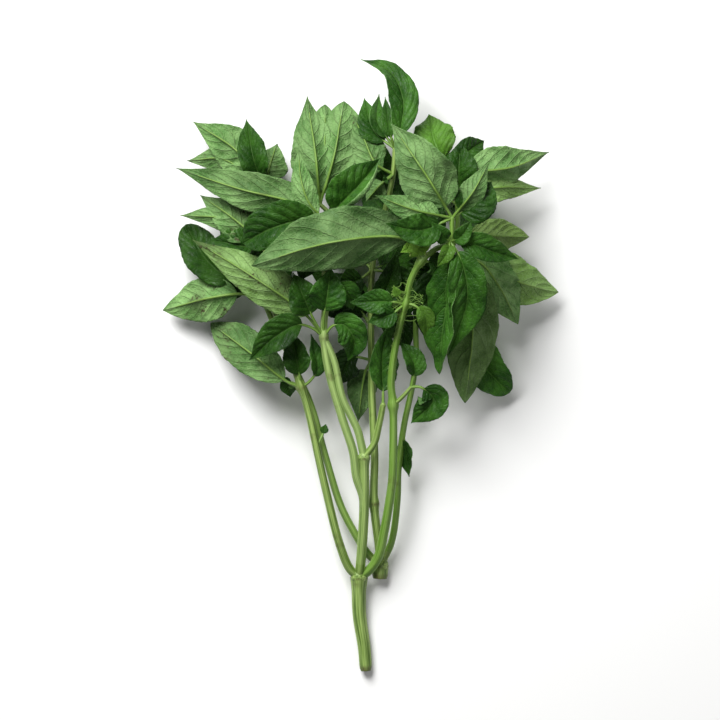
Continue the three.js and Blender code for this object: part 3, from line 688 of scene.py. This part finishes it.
# Front right stem: the highest one, with the largest leaf hanging across the front of the bunch,
# pale underside out, and a crown of leaves to the right.
RIGHT_TWIG = (25.5, -10.5, 33.5)
grow_sprig(
    "front_right", "front_right_stem",
    [
        dict(points=FRONT_RIGHT, thick=2.3, thin=1.2, start=STOCK_STUB,
             swell=[(RIGHT_JOINT, 2.8), (RIGHT_BEND, 2.6), (RIGHT_NECK, 2.4)], fresh=0.55),
        dict(points=(RIGHT_JOINT, (21, -15.5, 32), RIGHT_TWIG), thick=1.1, thin=0.9),
    ],
    [
        ((RIGHT_TWIG, (27, 0.5, 36), (20, 12, 33)), dict(wide=13, turn=20, fold=(30, 30), stalk=6)),
        ((RIGHT_TWIG, (30, -10.5, 35.5), (36.5, -16.5, 34), (25.5, -28.5, 27)), dict(wide=17)),
        ((RIGHT_BEND, (12.5, 32, 45), (-5, 31.5, 43)), dict(wide=13)),
        ((RIGHT_BEND, (16, 26, 44.5), (4, 21.5, 43)), dict(wide=13)),
        ((RIGHT_BEND, (27, 30, 43), (32, 25, 43), (33, 14, 37)), dict(wide=10, young=0.4)),
        ((RIGHT_BEND, (19, 35, 45), (16.5, 39.5, 47)), dict(wide=5, stalk=6, young=0.6)),
        ((RIGHT_NECK, (22, 62.5, 55), (-15, 60.5, 62), (-53.5, 49.5, 53)),
         dict(wide=35, turn=180, fold=(5, 42), stalk=12, taper=0.9, tone=-0.25)),
        ((RIGHT_NECK, (29, 58, 54), (37, 62.5, 58)), dict(wide=11, stalk=4, young=1)),
        ((RIGHT_NECK, (25, 58, 53), (20, 56, 56)), dict(wide=8, stalk=4, young=1)),
        ((RIGHT_NECK, (37, 51, 48), (41, 42, 46)), dict(wide=13, stalk=4, tone=-0.4)),
        ((RIGHT_HEAD, (50, 52, 57), (53, 33, 53), (44, 5.5, 41)), dict(wide=21, tone=0.25)),
        ((RIGHT_HEAD, (44, 52, 53), (42, 28, 46), (39.5, -4, 36)),
         dict(wide=22, turn=45, stalk=6, taper=0.7, tone=0.1)),
        ((RIGHT_HEAD, (54, 60.5, 54), (66, 56.5, 51), (78.5, 53, 44)),
         dict(wide=15, fold=(20, 30), stalk=5)),
        ((RIGHT_TIP, (26, 77, 63), (7.5, 84, 64)), dict(wide=15, turn=180, fold=(15, 15))),
        ((RIGHT_TIP, (30, 67, 60), (12.5, 70, 65)), dict(wide=18, fold=(20, 20), tone=-0.4)),
        ((RIGHT_TIP, (32.5, 94, 64), (15.5, 119.5, 55)),
         dict(wide=29, turn=180, fold=(10, 10), curl=(-45, 0), tone=-0.45)),
        ((RIGHT_TIP, (55, 85, 62), (63.5, 100, 58)), dict(wide=14, turn=180, stalk=6)),
        ((RIGHT_TIP, (57, 81, 58), (65, 91, 52)), dict(wide=23, stalk=5, tone=-0.3)),
        ((RIGHT_HEAD, (41, 64, 58), (35, 71, 59)), dict(wide=9, stalk=3)),
        ((RIGHT_HEAD, (50, 64, 58), (55, 72, 59)), dict(wide=9, stalk=3)),
        ((RIGHT_HEAD, (43, 56, 58), (38, 49, 56)), dict(wide=8, stalk=3, young=0.4)),
    ],
)

# Strands and hairs of the front right stem: a loose tuft of fine green strands on both sides of the
# stem, rooted in it, and the short hairs that stand all round its young upper part.
STRANDS = 44
STRAND_RADIUS = 0.17
STRAND_SIDES = 5
STRAND_REACHES = (3, 5.5, 8)
STRAND_STRAY = (1, 2.5, 1.5)
STRAND_RISE = 0.5
STRAND_FRESH = 0.5
STRAND_WAYS = (-1, -1, 1)  # two to the left for one to the right
HAIRS = 420
HAIR_LENGTH = 1.2
HAIR_RADIUS = 0.06
HAIR_LEAN = 0.4
FRONT_RIGHT_RADIUS = 1.5
HAIRS_FROM, HAIRS_TO = 95, 185  # distances along the stem
TUFT_FROM, TUFT_TO = 138, 156

draw = random.Random(5)
young_stem = path_through(FRONT_RIGHT)
tuft = new_stalks()
for _ in range(STRANDS):
    root = along(young_stem, draw.uniform(TUFT_FROM, TUFT_TO))[0]
    way = draw.choice(STRAND_WAYS)
    strand = [root]
    for reach in STRAND_REACHES:
        stray = Vector([draw.uniform(-most, most) for most in STRAND_STRAY])
        strand.append(root + Vector((way * reach, 0, STRAND_RISE)) + stray)
    strand = path_through(strand)
    add_tube(
        tuft, strand, 0, strand[1][-1], lambda distance: STRAND_RADIUS, sides=STRAND_SIDES, square=0,
        fresh=STRAND_FRESH,
    )
close_tubes(tuft)
finish_piece(tuft, "front_right_strands", [stem_skin], "front_right_stem")

hairs = new_stalks()
for _ in range(HAIRS):
    centre, ahead = along(young_stem, draw.uniform(HAIRS_FROM, HAIRS_TO))
    side = ahead.cross(UP).normalized()
    angle = draw.uniform(0, 2 * math.pi)
    out = math.cos(angle) * side.cross(ahead) + math.sin(angle) * side
    lean = (out + draw.uniform(-HAIR_LEAN, HAIR_LEAN) * ahead).normalized()
    hair = bmesh.ops.create_cone(
        hairs, cap_ends=True, segments=3, radius1=HAIR_RADIUS, radius2=HAIR_RADIUS / 3, depth=HAIR_LENGTH,
        matrix=lean.to_track_quat("Z", "X").to_matrix().to_4x4(),
    )["verts"]
    bmesh.ops.translate(hairs, verts=hair, vec=centre + (FRONT_RIGHT_RADIUS + HAIR_LENGTH / 2) * lean)
    bmesh.ops.scale(hairs, verts=hair, vec=(MM, MM, MM))
finish_piece(hairs, "front_right_hairs", [stem_skin], "front_right_stem")

# Back stock: the short cut stub of the plant behind, a thick green stem with a cut end, beside the
# front fork, with the roots of its three branches.
BACK_FORK = (10.5, -100, 4.8)
LOW_JOINT = (-49, 34.5, 17.5)
LOW_CROWN = (-55, 45.5, 15.5)
LOW_TIP = (-61, 63, 13)
LOW_NODE = (7, -69, 12)
SHADE_JOINT = (5.75, 3, 20.5)
CENTRE_JOINT = (5.5, 20, 22.5)
CENTRE_BEND = (6, 48, 26)
CENTRE_CROWN = (10, 67, 28.5)
CENTRE_NECK = (16.5, 95.5, 32)
CENTRE_TIP = (17.5, 108, 33)
FAR_JOINT = (22, -30, 17)
FAR_BEND = (42.5, 52, 26)
FAR_CROWN = (48, 65.5, 27)
FAR_NECK = (48.5, 80.5, 28)
FAR_TIP = (46, 98, 28.5)
BACK_MAIN = ((10, -107, 4), (10.2, -103, 4.2), BACK_FORK)
BACK_LEFT = (
    BACK_FORK, (4.5, -95, 6.2), (-1.5, -86, 8), (-9.5, -70.5, 10.5), (-17.5, -44.5, 14.5),
    (-24.5, -19.5, 17.5), (-34.5, 3, 19), (-43, 20.5, 19), LOW_JOINT, LOW_CROWN, LOW_TIP,
)
BACK_MIDDLE = (
    BACK_FORK, (9.5, -90, 8), LOW_NODE, (7.3, -45.5, 15), (6, -14.5, 18.5), SHADE_JOINT,
    CENTRE_JOINT, CENTRE_BEND, CENTRE_CROWN, CENTRE_NECK, CENTRE_TIP,
)
BACK_RIGHT = (
    BACK_FORK, (15.8, -88.5, 7), (18.75, -67, 11.5), (19.25, -52, 14), FAR_JOINT, (26, -11, 19.5),
    (28, 3, 21), (29, 28, 24), FAR_BEND, FAR_CROWN, FAR_NECK, FAR_TIP,
)
stalks = new_stalks()
add_shoot(stalks, BACK_MAIN, 4, 3.2, swell=[(BACK_FORK, 3.8)], cut=True)
add_shoot(stalks, BACK_LEFT, 1.9, 1.1, end=STOCK_STUB)
add_shoot(stalks, BACK_MIDDLE, 2.1, 1.2, end=STOCK_STUB)
add_shoot(stalks, BACK_RIGHT, 1.7, 1, end=STOCK_STUB)
brown_cut(close_tubes(stalks), BACK_MAIN[0])
finish_piece(stalks, "back_stock_stem", [stem_skin, cut_face], "back_stock")

# Back left stem: a thin branch that grows from the back stock and lies low, with the leaves on the
# far left of the bunch, some of them pressed flat on the table.
grow_sprig(
    "back_left", "back_left_stem",
    [dict(points=BACK_LEFT, thick=1.9, thin=1.1, start=STOCK_STUB, fresh=0.35)],
    [
        ((LOW_JOINT, (-60, 36, 21), (-75, 34, 19.5), (-99, 28, 8)),
         dict(wide=24, turn=180, stalk=13, taper=0.95, spots=1)),
        ((LOW_CROWN, (-68, 46, 17), (-77.5, 54, 15), (-87.5, 71, 8)),
         dict(wide=21, fold=(15, 15), taper=0.6, tone=-0.35)),
        ((LOW_CROWN, (-61, 44, 15), (-62, 34, 9)), dict(wide=12, stalk=4, taper=0.8, tone=-0.5)),
        ((LOW_CROWN, (-58, 58, 5), (-63, 68, 0), (-71, 80.5, -2)), dict(wide=21, fold=(3, 3))),
        ((LOW_TIP, (-54, 74, 5), (-51, 86, 0), (-51.5, 103, -2)), dict(wide=22, fold=(3, 3))),
        ((LOW_JOINT, (-45, 44, 6), (-42, 53, 0), (-40, 66, -2)), dict(wide=20, fold=(3, 3))),
    ],
)

# Back middle stem: the straight branch of the back plant, with a swollen node low down. It
# carries the tall leaves at the top of the bunch and, darkened with painted shade, those behind the stems.
# painted shade: a tone that darkens the leaves behind the stems
SHADE_PAINTED_TONE = -0.9  # tone of the leaves behind the stems
CENTRE_TWIG = (-20, 80.5, 28)
grow_sprig(
    "back_middle", "back_middle_stem",
    [
        dict(points=BACK_MIDDLE, thick=2.1, thin=1.2, start=STOCK_STUB, swell=[(LOW_NODE, 2.6)]),
        dict(points=(CENTRE_CROWN, (-7.5, 70.5, 28.5), CENTRE_TWIG), thick=1.2, thin=1),
    ],
    [
        ((CENTRE_TWIG, (-22, 103, 31.5), (-26.5, 135, 18)),
         dict(wide=26, turn=180, stalk=6, taper=1.25)),
        ((CENTRE_TWIG, (-13, 104, 30), (-8, 132.5, 16)), dict(wide=29, turn=180, stalk=6, taper=0.7)),
        ((CENTRE_TWIG, (-18, 105, 26), (-17.5, 131, 14)), dict(wide=22, turn=180, stalk=6, taper=0.7)),
        ((CENTRE_NECK, (8, 100.5, 34), (2, 113, 31), (-3.5, 125.5, 22)),
         dict(wide=18, turn=180, stalk=6, spots=1)),
        ((CENTRE_TIP, (7, 117, 28), (2, 134, 20)), dict(wide=14)),
        ((CENTRE_TIP, (8.5, 122, 29), (9.5, 136, 19)), dict(wide=9, turn=20)),
        ((CENTRE_TIP, (20, 118, 35), (21.5, 131.5, 32), (15.5, 146.2, 27), (0.5, 153.5, 16)),
         dict(wide=16, twist=60, tone=0.25)),
        ((CENTRE_TIP, (15, 115.5, 36.5), (12.5, 134, 29)), dict(wide=7)),
        ((CENTRE_NECK, (14, 93, 36), (11.5, 92, 37)), dict(wide=5, stalk=6)),
        ((CENTRE_NECK, (10, 90, 34), (3, 82, 30)), dict(wide=12, turn=180)),
        # painted shade: the leaves behind the stems get the darkening tone
        ((CENTRE_JOINT, (10, 30, 27), (14.5, 42, 31), (18.5, 58, 34)), dict(wide=15, tone=SHADE_PAINTED_TONE)),
        ((CENTRE_BEND, (1, 44, 28.5), (-11, 40, 26)), dict(wide=16, tone=SHADE_PAINTED_TONE)),
        ((SHADE_JOINT, (2.5, -3.5, 16), (-1, -28, 9)), dict(wide=16, turn=180, tone=SHADE_PAINTED_TONE)),
        ((SHADE_JOINT, (-3.5, 4, 18), (-12, -10, 12)), dict(wide=17, tone=SHADE_PAINTED_TONE)),
        ((CENTRE_JOINT, (-2, 30, 20), (-18, 35, 16), (-33, 31, 12)), dict(wide=21, tone=SHADE_PAINTED_TONE)),
        ((CENTRE_JOINT, (12, 28, 21), (20, 20, 18), (24, 6, 14)), dict(wide=18, tone=SHADE_PAINTED_TONE)),
        ((CENTRE_BEND, (15, 46, 28), (22, 38, 27), (25, 24, 23)), dict(wide=17, tone=SHADE_PAINTED_TONE)),
        ((CENTRE_BEND, (-3, 59, 10), (-9, 72, 1), (-15, 88, -2)), dict(wide=24, fold=(3, 3))),
        ((CENTRE_CROWN, (12.5, 83, 9), (11, 98, 1), (8, 119, -2)), dict(wide=24, fold=(3, 3))),
        ((CENTRE_BEND, (17, 53, 10), (24, 58, 2), (36, 67, -2)), dict(wide=20, fold=(3, 3))),
        ((CENTRE_JOINT, (-6, 35, 10), (-13, 40, 1), (-26, 49, -2)), dict(wide=21, fold=(3, 3))),
    ],
)

# Back right stem: the thinnest branch of the back plant, bent out to the right, with the leaves that
# hang on that side and those right of the top.
grow_sprig(
    "back_right", "back_right_stem",
    [dict(points=BACK_RIGHT, thick=1.7, thin=1, start=STOCK_STUB, fresh=0.55)],
    [
        ((FAR_JOINT, (22, -37, 17.5), (24.7, -55.5, 12)), dict(wide=10, turn=30)),
        ((FAR_BEND, (53, 43, 33), (56, 23, 34), (52.5, -18.5, 21)),
         dict(wide=29, turn=180, stalk=8, taper=0.85, young=0.15, tone=-0.25)),
        # painted light: the raised tone brightens this leaf, which hangs in shadow
        ((FAR_BEND, (56, 14, 19), (63, -1, 16), (75, -13.5, 7)),
         dict(wide=22, stalk=28, taper=0.6, tone=1)),
        ((FAR_BEND, (59, 52, 32), (69, 40, 31), (79, 21, 19)), dict(wide=24, turn=180, taper=0.9)),
        ((FAR_BEND, (61, 51, 27), (80.5, 41.5, 25), (99.5, 37, 10)),
         dict(wide=25, turn=180, taper=0.8, young=0.3, tone=0.45)),
        ((FAR_CROWN, (61, 65, 33), (84.5, 64.5, 20)), dict(wide=18, turn=180, taper=0.9, young=0.5)),
        ((FAR_NECK, (64, 88, 32), (90.5, 89, 18)), dict(wide=15, turn=180, young=0.3)),
        ((FAR_TIP, (60, 97, 35), (76, 99, 33), (94.5, 107, 20)),
         dict(wide=24, turn=180, fold=(45, 8), tone=0.5)),
        ((FAR_TIP, (54, 107, 30), (62, 112.5, 24)), dict(wide=14, tone=-0.2)),
        ((FAR_TIP, (38, 110, 29), (34.5, 126, 18)), dict(wide=23, fold=(15, 15), young=0.3)),
        # painted shade: darkening tone on a leaf behind the stems
        ((FAR_BEND, (37, 50, 22), (24, 38, 18)), dict(wide=22, tone=SHADE_PAINTED_TONE)),
        ((FAR_NECK, (49, 94, 33), (50, 112, 31)), dict(wide=22, tone=-0.3)),
        # painted shade: darkening tone on the leaves behind the stems
        ((FAR_CROWN, (40, 69, 22), (28, 76, 18)), dict(wide=20, tone=SHADE_PAINTED_TONE)),
        ((FAR_BEND, (36, 42, 30), (33, 28, 30), (34, 11, 24)), dict(wide=17, tone=SHADE_PAINTED_TONE)),
        ((FAR_CROWN, (55, 78, 9), (56, 88, 1), (56, 103, -2)), dict(wide=19, fold=(3, 3))),
        ((FAR_BEND, (48, 42, 9), (51, 33, 1), (54, 20, -2)), dict(wide=20, fold=(3, 3))),
        ((FAR_NECK, (41, 87, 10), (39, 97, 1), (37, 114, -2)), dict(wide=19, fold=(3, 3))),
    ],
)
